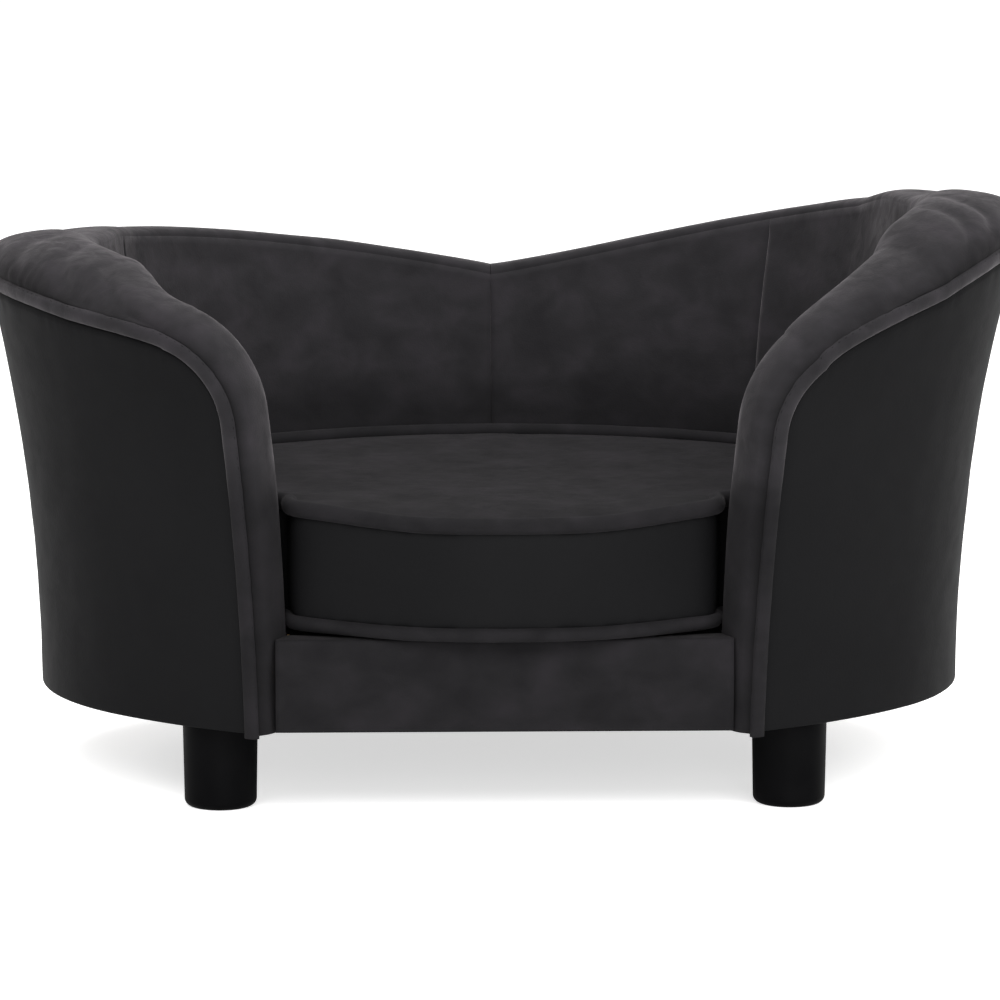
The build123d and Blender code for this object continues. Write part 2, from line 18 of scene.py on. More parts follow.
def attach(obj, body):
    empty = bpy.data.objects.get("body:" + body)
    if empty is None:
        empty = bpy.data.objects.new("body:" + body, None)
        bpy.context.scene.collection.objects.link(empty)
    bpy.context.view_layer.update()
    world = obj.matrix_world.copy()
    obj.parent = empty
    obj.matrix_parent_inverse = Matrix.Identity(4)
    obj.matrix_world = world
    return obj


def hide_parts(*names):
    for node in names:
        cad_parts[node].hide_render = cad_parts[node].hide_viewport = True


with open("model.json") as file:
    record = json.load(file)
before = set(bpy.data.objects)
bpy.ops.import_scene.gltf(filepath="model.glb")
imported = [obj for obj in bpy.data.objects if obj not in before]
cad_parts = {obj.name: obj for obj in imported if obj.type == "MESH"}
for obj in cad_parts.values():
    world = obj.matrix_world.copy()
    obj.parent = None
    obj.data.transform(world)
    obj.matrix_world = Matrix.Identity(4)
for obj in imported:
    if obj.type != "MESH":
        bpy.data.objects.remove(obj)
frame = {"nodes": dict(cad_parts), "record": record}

logging.basicConfig(level=logging.INFO, format="%(levelname)s %(message)s")
LOG = logging.getLogger("pet_sofa")
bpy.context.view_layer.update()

SEAM_SHADE = "seam_shade"

Place = Callable[[int, int], Vector]
Socket = bpy.types.NodeSocket
Triple = tuple[float, float, float]


class Body(str, Enum):
    """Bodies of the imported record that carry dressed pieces."""

    FRAME = "frame"
    CUSHION = "cushion"


class Slot(str, Enum):
    """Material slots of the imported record."""

    PLUSH = "black_plush"
    LEATHER = "faux_leather"
    FOAM = "foam"
    HARDBOARD = "hardboard"
    PLYWOOD = "plywood"
    PINE = "pine"
    CLOTH = "lining_cloth"
    PLASTIC = "foot_plastic"
    STEEL = "zinc_steel"
    NYLON = "zip_nylon"


def linear(hex_code: str) -> tuple[float, float, float, float]:
    """Linear colour of an sRGB hex code.

    Args:
        hex_code: Six hex digits.

    Returns:
        Red, green, blue and alpha.
    """
    parts = [int(hex_code[i : i + 2], 16) / 255 for i in (0, 2, 4)]
    r, g, b = (c / 12.92 if c <= 0.04045 else ((c + 0.055) / 1.055) ** 2.4 for c in parts)
    return (r, g, b, 1.0)


class Nodes:
    """A material's node tree with one small way of adding to it."""

    def __init__(self, name: str) -> None:
        """Start an empty material.

        Args:
            name: Name of the material.
        """
        self.material = bpy.data.materials.new(name)
        self.material.use_nodes = True
        self.tree = self.material.node_tree
        self.tree.nodes.clear()

    def add(self, kind: str, inputs: dict | None = None, **settings: object) -> bpy.types.Node:
        """Add a node, set its sockets and its own settings.

        Args:
            kind: Node type without its ShaderNode prefix.
            inputs: Socket name or index to a value or to an output socket.
            settings: Attributes of the node itself.

        Returns:
            The new node.
        """
        node = self.tree.nodes.new("ShaderNode" + kind)
        for key, value in settings.items():
            setattr(node, key, value)
        for key, value in (inputs or {}).items():
            if isinstance(value, Socket):
                self.tree.links.new(value, node.inputs[key])
            else:
                node.inputs[key].default_value = value
        return node

    def coords(self, stretch: Triple = (1, 1, 1)) -> Socket:
        """Object coordinates, stretched along the axes.

        Args:
            stretch: Factor on each axis.

        Returns:
            The vector socket.
        """
        place = self.add("TexCoord").outputs["Object"]
        return self.add("Mapping", {"Vector": place, "Scale": stretch}).outputs["Vector"]

    def noise(self, size: float, detail: float = 3, stretch: Triple = (1, 1, 1), warp: float = 0) -> Socket:
        """Noise whose blobs are about this size.

        Args:
            size: Size of a blob in metres.
            detail: Octaves of finer noise.
            stretch: Factor on each axis.
            warp: Distortion.

        Returns:
            The factor socket.
        """
        made = self.add(
            "TexNoise",
            {"Vector": self.coords(stretch), "Scale": 1 / size, "Detail": detail, "Distortion": warp},
        )
        return made.outputs["Fac"]

    def ramp(self, factor: Socket, *stops: tuple[float, str]) -> Socket:
        """Colour ramp over a factor.

        Args:
            factor: Socket to map.
            stops: Positions and hex colours.

        Returns:
            The colour socket.
        """
        made = self.add("ValToRGB", {"Fac": factor})
        for index, (position, code) in enumerate(stops):
            row = made.color_ramp.elements
            stop = row[index] if index < 2 else row.new(position)
            stop.position = position
            stop.color = linear(code)
        return made.outputs["Color"]

    def bump(
        self, height: Socket, strength: float, distance: float, before: Socket | None = None
    ) -> Socket:
        """Bump normal from a height socket.

        Args:
            height: Height socket.
            strength: Strength of the bump.
            distance: Real height in metres.
            before: Normal socket to add to.

        Returns:
            The normal socket.
        """
        inputs = {"Height": height, "Strength": strength, "Distance": distance}
        if before is not None:
            inputs["Normal"] = before
        return self.add("Bump", inputs).outputs["Normal"]

    def between(self, value: Socket, source: tuple[float, float], target: tuple[float, float]) -> Socket:
        """Map a value from one range to another, held at its ends.

        Args:
            value: Socket to map.
            source: Range it comes from.
            target: Range it goes to.

        Returns:
            The mapped socket.
        """
        ends = zip(("From Min", "From Max", "To Min", "To Max"), source + target)
        return self.add("MapRange", {"Value": value, **dict(ends)}).outputs["Result"]

    def maths(self, operation: str, *values: Socket | float) -> Socket:
        """Work out a sum on sockets and numbers.

        Args:
            operation: Operation of the node.
            values: Sockets or numbers, in order.

        Returns:
            The result's socket.
        """
        return self.add("Math", dict(enumerate(values)), operation=operation).outputs["Value"]

    def finish(self, **inputs: object) -> bpy.types.Material:
        """Close the tree with a principled surface.

        Args:
            inputs: Socket names, with underscores for spaces, and their values.

        Returns:
            The finished material.
        """
        shader = self.add("BsdfPrincipled", {k.replace("_", " "): v for k, v in inputs.items()})
        self.add("OutputMaterial", {"Surface": shader.outputs["BSDF"]})
        return self.material


@dataclass(frozen=True)
class PlushFinish:
    """Short-pile plush with a mottled nap."""

    dark: str = "1d1c1e"
    middle: str = "222123"
    light: str = "29272a"
    gleam: str = "aaa5a8"
    blotch: float = 0.030
    pile: float = 0.0011
    sheen: tuple[float, float] = (0.22, 0.45)
    # Painted shade: below the top of low_span the plush's colour and sheen are dimmed, by low_shade and
    # low_sheen at the span's bottom and below it, for the shade on the seat, the rail and low on the arms.
    low_span: tuple[float, float] = (0.205, 0.236)
    low_shade: float = 0.62
    low_sheen: float = 0.14
    # Painted shade in the groove of a seam: how far the seam_shade attribute darkens the plush's colour and
    # sheen.
    seam_shade: float = 0.75

    def material(self) -> bpy.types.Material:
        """Build the plush, darker low down and in the groove of a seam, where shade is painted into its
        colour and sheen.

        Returns:
            The material.
        """
        nodes = Nodes(Slot.PLUSH.value)
        blotches = nodes.noise(self.blotch, 9, (1, 1, 1.3), 0.35)
        colour = nodes.ramp(blotches, (0.3, self.dark), (0.7, self.light), (0.48, self.middle))
        brushed = nodes.noise(self.blotch / 3, 6, (1, 1, 0.7), 0.6)
        sheen = nodes.between(brushed, (0.35, 0.65), self.sheen)
        # Painted shade low down: colour and sheen fall with height through low_span.
        height = nodes.add("SeparateXYZ", {"Vector": nodes.coords()}).outputs["Z"]
        # Painted shade in the seam groove, read from the seam_shade attribute of the grid.
        seam = nodes.add("Attribute", attribute_name=SEAM_SHADE).outputs["Fac"]
        clear = nodes.maths("MULTIPLY_ADD", seam, -self.seam_shade, 1.0)
        shade = nodes.maths("MULTIPLY", nodes.between(height, self.low_span, (self.low_shade, 1.0)), clear)
        painted_sheen_shade = nodes.maths("MULTIPLY", nodes.between(height, self.low_span, (self.low_sheen, 1.0)), clear)
        dimmed = nodes.add("VectorMath", {"Vector": colour, "Scale": shade}, operation="SCALE")
        pile = nodes.noise(self.pile, 2)
        return nodes.finish(
            Base_Color=dimmed.outputs["Vector"],
            Roughness=0.95,
            Specular_IOR_Level=0.12,
            Sheen_Weight=nodes.maths("MULTIPLY", sheen, painted_sheen_shade),
            Sheen_Roughness=0.42,
            Sheen_Tint=linear(self.gleam),
            Normal=nodes.bump(brushed, 0.25, 0.0012, nodes.bump(pile, 0.35, 0.0004)),
        )


@dataclass(frozen=True)
class LeatherFinish:
    """Smooth faux leather with a fine pebble."""

    dark: str = "101011"
    light: str = "131314"
    pebble: float = 0.0016
    crease: float = 0.012
    rough: tuple[float, float] = (0.54, 0.59)
    shine: float = 0.045

    def material(self) -> bpy.types.Material:
        """Build the faux leather.

        Returns:
            The material.
        """
        nodes = Nodes(Slot.LEATHER.value)
        colour = nodes.ramp(nodes.noise(self.crease * 10, 3), (0.3, self.dark), (0.7, self.light))
        scale = {"Vector": nodes.coords(), "Scale": 1 / self.pebble}
        cells = nodes.add("TexVoronoi", scale, feature="SMOOTH_F1").outputs["Distance"]
        creases = nodes.noise(self.crease, 4, (1, 1, 1), 0.6)
        return nodes.finish(
            Base_Color=colour,
            Roughness=nodes.between(creases, (0.3, 0.7), self.rough),
            Specular_IOR_Level=self.shine,
            Normal=nodes.bump(cells, 0.18, 0.0003, nodes.bump(creases, 0.08, 0.0006)),
        )


@dataclass(frozen=True)
class GrainFinish:
    """Timber or board with a grain along X."""

    name: str
    dark: str
    light: str
    grain: float = 0.004
    rough: float = 0.7

    def material(self) -> bpy.types.Material:
        """Build the grain.

        Returns:
            The material.
        """
        nodes = Nodes(self.name)
        lines = nodes.noise(self.grain, 4, (0.06, 1, 1), 0.5)
        patches = nodes.noise(self.grain * 20, 2)
        mixed = nodes.maths("MULTIPLY", nodes.maths("ADD", lines, patches), 0.5)
        colour = nodes.ramp(mixed, (0.32, self.dark), (0.68, self.light))
        return nodes.finish(Base_Color=colour, Roughness=self.rough, Normal=nodes.bump(lines, 0.25, 0.0003))


@dataclass(frozen=True)
class SpeckFinish:
    """Foam, cloth, moulded plastic or plated steel: a fine all-over texture."""

    name: str
    dark: str
    light: str
    speck: float
    depth: float
    rough: float
    metallic: float = 0.0
    shine: float = 0.5

    def material(self) -> bpy.types.Material:
        """Build the texture.

        Returns:
            The material.
        """
        nodes = Nodes(self.name)
        specks = nodes.noise(self.speck, 3)
        clouds = nodes.noise(self.speck * 25, 2)
        colour = nodes.ramp(clouds, (0.3, self.dark), (0.7, self.light))
        return nodes.finish(
            Base_Color=colour,
            Roughness=nodes.between(clouds, (0.3, 0.7), (self.rough - 0.05, self.rough + 0.05)),
            Metallic=self.metallic,
            Specular_IOR_Level=self.shine,
            Normal=nodes.bump(specks, 0.3, self.depth),
        )


FINISHES = {
    Slot.PLUSH: PlushFinish(),
    Slot.LEATHER: LeatherFinish(),
    Slot.FOAM: SpeckFinish("foam", "d8cda6", "e9dfbd", 0.0014, 0.0005, 0.9),
    Slot.HARDBOARD: SpeckFinish("hardboard", "6a4c31", "7d5c3e", 0.0022, 0.0002, 0.75),
    Slot.PLYWOOD: GrainFinish("plywood", "b08c5c", "d2b487"),
    Slot.PINE: GrainFinish("pine", "c09a66", "e0c597", 0.006),
    Slot.CLOTH: SpeckFinish("lining_cloth", "0e0e0f", "151516", 0.0011, 0.0003, 0.95, shine=0.1),
    Slot.PLASTIC: SpeckFinish("foot_plastic", "060607", "09090a", 0.0009, 0.00006, 0.45, shine=0.03),
    Slot.STEEL: SpeckFinish("zinc_steel", "a5a8ac", "c2c5c9", 0.0012, 0.00004, 0.35, 1.0),
    Slot.NYLON: SpeckFinish("zip_nylon", "0e0e10", "151517", 0.0007, 0.00008, 0.45, shine=0.3),
}


@dataclass
class Looks:
    """The materials by slot, each made once."""

    made: dict[Slot, bpy.types.Material] = field(default_factory=dict)

    def of(self, slot: Slot) -> bpy.types.Material:
        """Material of a slot.

        Args:
            slot: The record's slot.

        Returns:
            The material.
        """
        if slot not in self.made:
            self.made[slot] = FINISHES[slot].material()
        return self.made[slot]


def settle(share: float) -> float:
    """Smooth step from 0 to 1.

    Args:
        share: Place between 0 and 1, clamped.

    Returns:
        The eased share.
    """
    share = min(1.0, max(0.0, share))
    return share * share * (3 - 2 * share)


def hump(distance: float, spread: float) -> float:
    """Bell curve that is 1 in its middle.

    Args:
        distance: Distance from its middle.
        spread: Distance at which it has fallen to about a third.

    Returns:
        The height of the curve.
    """
    return math.exp(-((distance / spread) ** 2))


@dataclass(frozen=True)
class Ripple:
    """Soft unevenness of a stretched cover."""

    depth: float
    size: float
    seed: float = 0.0

    def at(self, point: Vector) -> float:
        """Height of the ripple, from about minus its depth to plus its depth.

        Args:
            point: Place in metres.

        Returns:
            The height.
        """
        return self.depth * noise.noise(point / self.size + Vector((self.seed, 0, 0)))


@dataclass
class Workshop:
    """Makes finished pieces from grids and hands them to the frame."""

    looks: Looks

    def dress(self, obj: bpy.types.Object, body: Body, slot: Slot, nodes: tuple[str, ...]) -> None:
        """Give a piece its material, body and the CAD nodes it stands for, and report it.

        Args:
            obj: The piece.
            body: Body it rides on.
            slot: Slot it takes its finish from.
            nodes: CAD nodes it replaces.
        """
        obj.data.materials.clear()
        obj.data.materials.append(self.looks.of(slot))
        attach(obj, body.value)
        if nodes:
            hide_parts(*nodes)
        LOG.info("%s dressed in %s on the %s", obj.name, slot.value, body.value)

    def add(self, name: str, shape: bmesh.types.BMesh) -> bpy.types.Object:
        """Turn a bmesh into a smooth object.

        Args:
            name: Name of the piece.
            shape: Its mesh, freed here.

        Returns:
            The object.
        """
        mesh = bpy.data.meshes.new(name)
        shape.to_mesh(mesh)
        shape.free()
        mesh.shade_smooth()
        obj = bpy.data.objects.new(name, mesh)
        bpy.context.scene.collection.objects.link(obj)
        return obj

    def grid(
        self, columns: int, rows: int, place: Place, facing: Vector, groove: int = 0
    ) -> bmesh.types.BMesh:
        """A grid whose points are put in place one by one.

        Args:
            columns: Points along it.
            rows: Points across it.
            place: Place of the point in a column and row.
            facing: Way in which its middle faces.
            groove: Rows at its first edge that lie in the shade of a seam.

        Returns:
            The mesh.
        """
        shape = bmesh.new()
        # Painted shade: the seam_shade attribute is 1 at the first row and fades to 0 over the groove's rows,
        # and is 0 everywhere when groove is 0.
        shade = shape.verts.layers.float.new(SEAM_SHADE)
        bmesh.ops.create_grid(shape, x_segments=columns - 1, y_segments=rows - 1, size=1.0)
        for vert in shape.verts:
            column = round((vert.co.x + 1) / 2 * (columns - 1))
            row = round((vert.co.y + 1) / 2 * (rows - 1))
            vert.co = place(column, row)
            vert[shade] = max(0.0, 1 - row / groove) if groove else 0.0
        bmesh.ops.remove_doubles(shape, verts=shape.verts, dist=1e-6)
        shape.normal_update()
        middle = place(columns // 2, rows // 2)
        nearest = min(shape.faces, key=lambda face: (face.calc_center_median() - middle).length)
        if nearest.normal.dot(facing) < 0:
            bmesh.ops.reverse_faces(shape, faces=shape.faces)
        return shape

    def thicken(self, obj: bpy.types.Object, thickness: float) -> None:
        """Give a skin its thickness behind its face.

        Args:
            obj: The skin.
            thickness: Its thickness in metres.
        """
        solid = obj.modifiers.new("thickness", "SOLIDIFY")
        solid.thickness = thickness
        solid.offset = -1.0


@dataclass(frozen=True)
class Station:
    """A place along the wall's edge; turn is 90 where the edge faces forwards and 0 where it faces up."""

    bearing: float
    height: float
    turn: float


@dataclass(frozen=True)
class Fold:
    """A fold across the roll: where it lies and how it slants, in degrees, and its depth and spread."""

    bearing: float
    slant: float
    depth: float
    spread: float


@dataclass(frozen=True)
class Oval:
    """Plan of the tub: a four-centred oval with a wall that flares as it rises."""

    half_width: float = 0.308
    half_depth: float = 0.242
    side_radius: float = 0.190
    centre_y: float = -0.027
    base: float = 0.0585
    flare_radius: float = 1.150
    wall: float = 0.038

    @property
    def end_radius(self) -> float:
        """Radius of the front and back arcs."""
        both = self.half_width**2 + self.half_depth**2 - 2 * self.half_width * self.side_radius
        return both / (2 * (self.half_depth - self.side_radius))

    def flare(self, height: float) -> float:
        """How far the wall leans out at a height.

        Args:
            height: Height in metres.

        Returns:
            The lean in metres.
        """
        return self.flare_radius - math.sqrt(self.flare_radius**2 - (height - self.base) ** 2)

    def point(self, hand: float, bearing: float, inset: float, height: float) -> Vector:
        """A point of the wall, this far inside its outer face.

        Args:
            hand: -1 for the left, 1 for the right.
            bearing: Bearing in degrees.
            inset: Distance inside the outer face.
            height: Height in metres.

        Returns:
            The point.
        """
        offset = self.end_radius - self.half_depth
        side = self.half_width - self.side_radius
        start = math.degrees(math.asin(side / (self.end_radius - self.side_radius)))
        x, y, radius = 0.0, self.centre_y + offset, self.end_radius
        if bearing > 180 - start:
            y = self.centre_y - offset
        elif bearing > start:
            x, y, radius = side, self.centre_y, self.side_radius
        reach = radius + self.flare(height) - inset
        way = math.radians(bearing)
        return Vector((hand * (x + reach * math.sin(way)), y - reach * math.cos(way), height))


OVAL = Oval()


@dataclass
class WallHalf:
    """One half of the upholstered wall: leather, welt, padded roll and plush lining."""

    shop: Workshop
    name: str
    hand: float
    wing: float
    arm: float
    slope: float
    seam: float
    opening: float
    fall: float
    full_from: float
    full_run: float
    back: float = 0.293
    corner: float = 0.060
    lean: float = 1.0
    wing_front: float = 85.0
    wing_back: float = 110.0
    rise_shape: float = 0.68
    crowding: float = 1.3
    roll: float = 0.008
    roll_foot: float = 0.004
    roll_full: float = 0.200
    welt: float = 0.009
    gap: float = 0.0003
    deck: float = 0.1161
    settle_run: float = 20.0
    wing_full: float = 0.0375
    full_to: float = 152.0
    full_fade: float = 48.0
    full_shape: float = 1.6
    shoulder: float = 0.013
    shoulder_to: float = 106.0
    shoulder_fade: float = 28.0
    folds: tuple[Fold, ...] = ()

    @property
    def arm_bearing(self) -> float:
        """Bearing of the arm's front edge at the base."""
        return math.degrees(math.asin(self.opening / OVAL.end_radius))

    @property
    def centre_height(self) -> float:
        """Height at which the front edge starts to turn into the corner."""
        return self.arm - self.corner * math.cos(math.radians(self.slope))

    @property
    def corner_end(self) -> float:
        """Bearing at which the corner runs into the rim."""
        run = self.corner * (1 - math.sin(math.radians(self.slope)))
        return self.arm_bearing + self.lean + math.degrees(run / OVAL.end_radius)

    def front_bearing(self, height: float) -> float:
        """Bearing of the arm's leaning front edge.

        Args:
            height: Height in metres.

        Returns:
            The bearing in degrees.
        """
        share = (height - OVAL.base) / (self.centre_height - OVAL.base)
        return self.arm_bearing + self.lean * min(1.0, share)

    def rim(self, bearing: float) -> float:
        """Height of the edge behind the corner.

        Args:
            bearing: Bearing in degrees.

        Returns:
            The height in metres.
        """
        if bearing < self.wing_front:
            share = (bearing - self.corner_end) / (self.wing_front - self.corner_end)
            return self.arm + (self.wing - self.arm) * math.sin(math.radians(90 * share**self.rise_shape))
        if bearing < self.wing_back:
            return self.wing
        share = (180 - bearing) / (180 - self.wing_back)
        return self.back + (self.wing - self.back) * math.sin(math.radians(90 * share**self.fall))

    def stations(self, front: int, corner: int, rim: int, low: float) -> list[Station]:
        """Places along the edge from the arm's foot to the middle of the back.

        Args:
            front: Steps up the arm's front edge.
            corner: Steps round its corner.
            rim: Steps along the rim.
            low: Height at which the front edge starts.

        Returns:
            The stations.
        """
        places = []
        for step in range(front):
            height = low + (self.centre_height - low) * step / front
            places.append(Station(self.front_bearing(height), height, 90.0))
        middle = self.arm_bearing + self.lean + math.degrees(self.corner / OVAL.end_radius)
        for step in range(corner):
            turn = 90 - (90 - self.slope) * step / corner
            run = self.corner * math.sin(math.radians(turn))
            height = self.centre_height + self.corner * math.cos(math.radians(turn))
            places.append(Station(middle - math.degrees(run / OVAL.end_radius), height, turn))
        last = 180 - math.degrees(self.gap / 2 / OVAL.end_radius)
        for step in range(rim + 1):
            bearing = self.corner_end + (last - self.corner_end) * (step / rim) ** self.crowding
            turn = self.slope * max(0.0, 1 - (bearing - self.corner_end) / self.settle_run)
            places.append(Station(bearing, self.rim(bearing), turn))
        return places

    def level(self, bearing: float) -> Vector:
        """Level direction out through the wall.

        Args:
            bearing: Bearing in degrees.

        Returns:
            The direction.
        """
        way = math.radians(bearing)
        return Vector((self.hand * math.sin(way), -math.cos(way), 0))

    def edge(self, station: Station) -> Matrix:
        """Frame across the edge: x runs in through the wall, y out past the edge.

        Args:
            station: Place along the edge.

        Returns:
            The frame as a matrix.
        """
        lean = math.asin((station.height - OVAL.base) / OVAL.flare_radius)
        way, out = math.radians(station.bearing), math.radians(station.turn)
        level = self.level(station.bearing)
        forward = Vector((-self.hand * math.cos(way), -math.sin(way), 0))
        inward = Vector((0, 0, math.sin(lean))) - level * math.cos(lean)
        upward = level * math.sin(lean) + Vector((0, 0, math.cos(lean)))
        along = upward * math.cos(out) + forward * math.sin(out)
        place = OVAL.point(self.hand, station.bearing, 0.0, station.height)
        turned = Matrix((inward, along, inward.cross(along))).transposed()
        return Matrix.Translation(place) @ turned.to_4x4()

    def width(self, station: Station) -> float:
        """Thickness of the wall square to its lean.

        Args:
            station: Place along the edge.

        Returns:
            The thickness in metres.
        """
        return OVAL.wall * math.sqrt(1 - ((station.height - OVAL.base) / OVAL.flare_radius) ** 2)

    def rise(self, station: Station) -> float:
        """Rise of the padded roll, flatter towards the arm's foot.

        Args:
            station: Place along the edge.

        Returns:
            The rise in metres.
        """
        share = min(1.0, (station.height - OVAL.base) / (self.roll_full - OVAL.base))
        return self.roll_foot + (self.roll - self.roll_foot) * share

    def fullness(self, bearing: float) -> float:
        """Extra depth of padding on the inside of the wing, at its top.

        Args:
            bearing: Bearing in degrees.

        Returns:
            The depth in metres.
        """
        grown = settle((bearing - self.full_from) / self.full_run)
        return self.wing_full * grown * settle((self.full_to - bearing) / self.full_fade)

    def dome(self, bearing: float) -> float:
        """Extra rise of the roll on the shoulder of the wing.

        Args:
            bearing: Bearing in degrees.

        Returns:
            The rise in metres.
        """
        grown = settle((bearing - self.full_from) / self.full_run)
        return self.shoulder * grown * settle((self.shoulder_to - bearing) / self.shoulder_fade)

    def build_leather(self) -> None:
        """Faux leather stretched over the outside, tucked under the base and into the welt."""
        back = self.welt + self.gap
        tops = []
        for station in self.stations(front=0, corner=16, rim=150, low=OVAL.base):
            turn = math.radians(station.turn)
            bearing = station.bearing + math.degrees(back * math.sin(turn) / OVAL.end_radius)
            tops.append((min(bearing, 180.0), station.height - back * math.cos(turn)))
        under, rows, leaning = 7, 52, 60
        radius, tuck, drop = 0.0016, 0.008, 0.0014
        back_draw, top_draw, front_draw = 0.0012, 0.0010, 0.0010
        draw_run, top_run, front_from = 1.2, 0.006, 1.4
        gather, gathers, gather_run = 0.0003, 22, 0.018
        waves = (Ripple(0.0005, 0.07, self.hand), Ripple(0.00025, 0.02, 3.0))

        def place(column: int, row: int) -> Vector:
            """Point of the leather.

            Args:
                column: Step along the edge.
                row: Step up from the tuck under the base.

            Returns:
                The point.
            """
            bearing, top = tops[column]
            if row < under:
                turn = math.pi / 2 * max(0, row - 1) / (under - 1)
                height = OVAL.base - drop + radius * (1 - math.cos(turn))
                inset = radius * (1 - math.sin(turn)) if row else tuck
            else:
                share = (row - under) / (rows - under - 1)
                height = OVAL.base + (top - OVAL.base) * share
                inset = 0.0
            lean = self.front_bearing(height) - self.front_bearing(top)
            bearing += lean * max(0.0, 1 - column / leaning)
            point = OVAL.point(self.hand, bearing, inset, height)
            inset += back_draw * (1 - settle((180 - bearing) / draw_run))
            inset += top_draw * (1 - settle((top - height) / top_run))
            inset += front_draw * (1 - settle((bearing - self.front_bearing(height) - front_from) / draw_run))
            inset -= sum(wave.at(point) for wave in waves)
            inset -= gather * math.sin(bearing * gathers) * (1 - settle((top - height) / gather_run))
            return OVAL.point(self.hand, bearing, inset, height)

        middle = OVAL.point(self.hand, tops[len(tops) // 2][0], 0.0, 0.2)
        shape = self.shop.grid(len(tops), rows, place, Vector((middle.x, middle.y - OVAL.centre_y, 0)))
        obj = self.shop.add(f"{self.name}_leather_skin", shape)
        self.shop.thicken(obj, thickness=0.0012)
        self.shop.dress(obj, Body.FRAME, Slot.LEATHER, (f"{self.name}_outer_leather",))

    def build_welt(self) -> None:
        """Folded plush strip between the leather and the roll, with a short tail below the base."""
        stations = self.stations(front=34, corner=22, rim=230, low=OVAL.base - 0.004)
        frames = [self.edge(station) for station in stations]
        rows, bulge, blunt, lap, sunk = 11, 0.0040, 0.7, 0.0006, 0.0009
        uneven = Ripple(0.00025, 0.011, 5.0)

        def place(column: int, row: int) -> Vector:
            """Point of the welt.

            Args:
                column: Step along the edge.
                row: Step across the strip.

            Returns:
                The point.
            """
            turn = math.pi * row / (rows - 1)
            out = bulge * abs(math.sin(turn)) ** blunt + uneven.at(frames[column].translation)
            across = lap - (self.welt + 2 * lap) * (1 - math.cos(turn)) / 2
            return frames[column] @ Vector((sunk - out, across, 0))

        middle = frames[len(frames) // 2]
        shape = self.shop.grid(len(frames), rows, place, -(middle.to_3x3() @ Vector((1, 0, 0))))
        obj = self.shop.add(f"{self.name}_welt_strip", shape)
        self.shop.dress(obj, Body.FRAME, Slot.PLUSH, (f"{self.name}_edge_welt",))

    def build_roll(self) -> None:
        """Plush band arched over the padded edge, fuller on the wing and with a few folds."""
        stations = self.stations(front=34, corner=22, rim=230, low=OVAL.base - 0.002)
        frames = [self.edge(station) for station in stations]
        rows, full = 27, 0.82
        outer_tuck, inner_tuck = (0.0010, -0.0022), (0.0006, -0.0025)
        valley_at, valley_span, valley_run, valley_depth = self.full_from + 8, 14, 0.007, 0.8
        ridge, corner_ridge, corner_span, groove_run, groove_depth = 0.0008, 0.0016, 7, 0.005, 0.0003
        swelling, gather, gather_run = Ripple(0.0007, 0.05, 9.0), Ripple(0.0006, 0.006, 2.0), 0.010

        def place(column: int, row: int) -> Vector:
            """Point of the roll.

            Args:
                column: Step along the edge.
                row: Step over the roll, from the welt to the lining.

            Returns:
                The point.
            """
            station, seat = stations[column], frames[column].translation
            width = self.width(station)
            turn = math.pi * row / (rows - 1)
            across, arch = math.cos(turn), abs(math.sin(turn))
            x = width / 2 * (1 - math.copysign(abs(across) ** full, across))
            y = (self.rise(station) + self.dome(station.bearing)) * arch**full
            y *= 1 - valley_depth * hump(station.bearing - valley_at, valley_span) * hump(x, valley_run)
            widened = -self.level(station.bearing) * self.fullness(station.bearing) * x / width
            lift = swelling.at(seat) * arch + gather.at(seat) * (1 - settle(x / gather_run))
            for fold in self.folds:
                away = station.bearing - fold.bearing - fold.slant * (turn / math.pi - 0.5)
                lift -= fold.depth * hump(away, fold.spread) * arch**2 * (1 - x / width)
            raised = ridge + corner_ridge * hump(station.bearing - self.corner_end, corner_span)
            groove = hump(x, groove_run)
            lift += raised * (1 - groove) * arch - groove_depth * groove
            if row == 0:
                x, y = outer_tuck
            elif row == rows - 1:
                x, y = width - inner_tuck[0], inner_tuck[1]
            return frames[column] @ Vector((x - across * lift, y + arch * lift, 0)) + widened

        middle = frames[len(frames) // 2]
        # Its first eight rows carry painted shade for the groove beside the welt.
        shape = self.shop.grid(len(frames), rows, place, middle.to_3x3() @ Vector((0, 1, 0)), groove=8)
        obj = self.shop.add(f"{self.name}_roll", shape)
        self.shop.dress(obj, Body.FRAME, Slot.PLUSH, (f"{self.name}_rim_band", f"{self.name}_rim_padding"))

    def build_stitches(self) -> None:
        """Row of sewing stitches in the groove between the welt and the roll."""
        stations = self.stations(front=120, corner=40, rim=700, low=OVAL.base + 0.004)
        shape = bmesh.new()
        pitch, length, thread, last = 0.0052, 0.0034, 0.0005, None
        for station, after in zip(stations, stations[1:]):
            across = self.edge(station)
            seat = across @ Vector((-0.0008, -0.0001, 0))
            if last is not None and (seat - last).length < pitch:
                continue
            last = seat
            ahead = (self.edge(after).translation - across.translation).normalized()
            side = across.to_3x3() @ Vector((1, 0, 0))
            turned = Matrix((ahead, side, ahead.cross(side))).transposed().to_4x4()
            size = Matrix.Diagonal((length / 2, thread, thread, 1))
            bmesh.ops.create_uvsphere(
                shape, u_segments=6, v_segments=4, radius=1.0,
                matrix=Matrix.Translation(seat) @ turned @ size @ Matrix.Rotation(math.pi / 2, 4, "Y"),
            )
        obj = self.shop.add(f"{self.name}_stitches", shape)
        self.shop.dress(obj, Body.FRAME, Slot.CLOTH, ())

